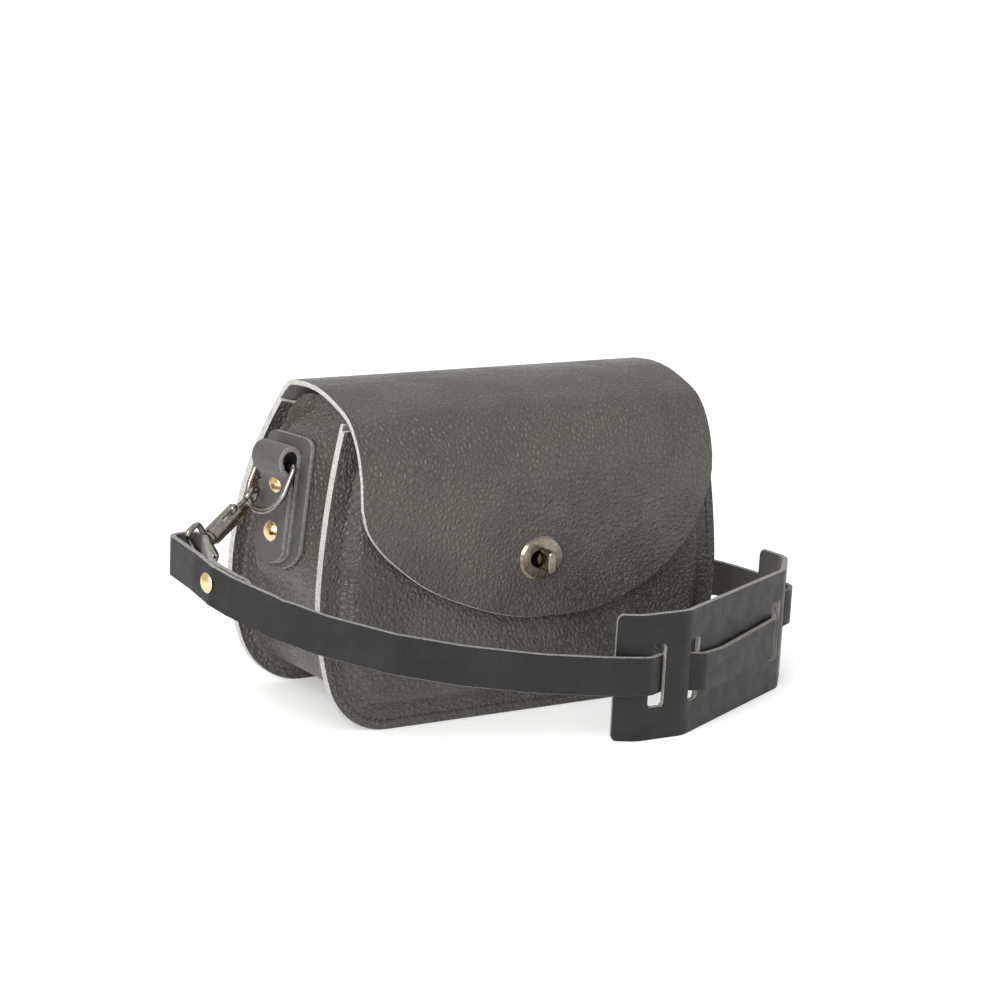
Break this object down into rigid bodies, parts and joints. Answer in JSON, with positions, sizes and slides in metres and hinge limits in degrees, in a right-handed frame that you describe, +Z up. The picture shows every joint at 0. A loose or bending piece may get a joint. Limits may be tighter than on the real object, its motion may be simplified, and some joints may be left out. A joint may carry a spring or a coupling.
{
  "type": "leather saddle bag with shoulder strap",
  "caption": "Small leather saddle bag with a folded flap, turn lock, side dee-ring tabs, clip-on strap and slotted shoulder pad.",
  "frame": {"origin": "on the floor under the middle of the bag, midway between its front and back foot edges", "axes": "+X along the bag's width to its right seen from the front, -Y towards the front with the turn lock, +Z up"},
  "size_m": [0.3279, 0.2128, 0.1595],
  "materials": {
    "grey_leather": "satin",
    "black_leather": "satin",
    "brass_plating": "polished",
    "rivet_brass": "polished",
    "gunmetal": "polished",
    "dark_steel": "brushed",
    "spring_steel": "satin"
  },
  "bodies": {
    "bag": {"front_panel": "grey_leather", "back_panel": "grey_leather", "gusset": "grey_leather", "lock_base": "brass_plating", "base_washer": "dark_steel", "strap_main": "black_leather", "shoulder_pad": "black_leather", "tab_base_left": "black_leather", "tab_loop_left": "black_leather", "tab_rivets_left": "rivet_brass", "tab_base_right": "black_leather", "tab_loop_right": "black_leather", "tab_rivets_right": "rivet_brass"},
    "flap_top": {"flap_top": "grey_leather"},
    "flap_front": {"flap_front": "grey_leather", "lock_plate": "brass_plating", "lock_washer": "dark_steel"},
    "turn_knob": {"turn_knob": "brass_plating"},
    "ring_left": {"d_ring_left": "gunmetal", "swivel_eye_left": "gunmetal", "strap_end_left": "black_leather", "strap_rivet_left": "rivet_brass"},
    "hook_left": {"hook_body_left": "gunmetal", "trigger_spring_left": "spring_steel"},
    "trigger_left": {"trigger_left": "gunmetal"},
    "ring_right": {"d_ring_right": "gunmetal", "swivel_eye_right": "gunmetal", "strap_end_right": "black_leather", "strap_rivet_right": "rivet_brass"},
    "hook_right": {"hook_body_right": "gunmetal", "trigger_spring_right": "spring_steel"},
    "trigger_right": {"trigger_right": "gunmetal"}
  },
  "joints": [
    {"name": "flap_fold", "type": "hinge", "parent": "bag", "child": "flap_top", "pos_m": [0, 0.0249, 0.1534], "axis": [-1, 0, 0], "range_deg": [0, 150]},
    {"name": "flap_bend", "type": "hinge", "parent": "flap_top", "child": "flap_front", "pos_m": [0, -0.0369, 0.1501], "axis": [-1, 0, 0], "range_deg": [0, 60]},
    {"name": "knob_turn", "type": "hinge", "parent": "bag", "child": "turn_knob", "pos_m": [0, -0.056, 0.079], "axis": [0, 1, 0], "range_deg": [0, 90]},
    {"name": "ring_swing_left", "type": "hinge", "parent": "bag", "child": "ring_left", "pos_m": [-0.1128, 0.00367, 0.12183], "axis": [0.2079, -0.9781, 0], "range_deg": [-10, 1.5]},
    {"name": "hook_swivel_left", "type": "hinge", "parent": "ring_left", "child": "hook_left", "pos_m": [-0.12378, 0.01023, 0.1034], "axis": [-0.8053, -0.1821, -0.5642], "range_deg": [-20, 20]},
    {"name": "trigger_slide_left", "type": "slide", "parent": "hook_left", "child": "trigger_left", "axis": [-0.8053, -0.1821, -0.5642], "range_m": [0, 0.005], "stiffness_N_per_m": 150, "springref_m": -0.002, "deforming": ["trigger_spring_left"]},
    {"name": "ring_swing_right", "type": "hinge", "parent": "bag", "child": "ring_right", "pos_m": [0.1128, 0.00367, 0.12183], "axis": [-0.2079, -0.9781, 0], "range_deg": [0, 10]},
    {"name": "hook_swivel_right", "type": "hinge", "parent": "ring_right", "child": "hook_right", "pos_m": [0.12324, 0.01063, 0.10275], "axis": [0.5552, 0.611, -0.5642], "range_deg": [-20, 20]},
    {"name": "trigger_slide_right", "type": "slide", "parent": "hook_right", "child": "trigger_right", "axis": [0.5552, 0.611, -0.5642], "range_m": [0, 0.005], "stiffness_N_per_m": 150, "springref_m": -0.002, "deforming": ["trigger_spring_right"]}
  ],
  "couplings": [
    {"joint": "flap_bend", "follows": "flap_fold", "ratio": 0.4}
  ]
}
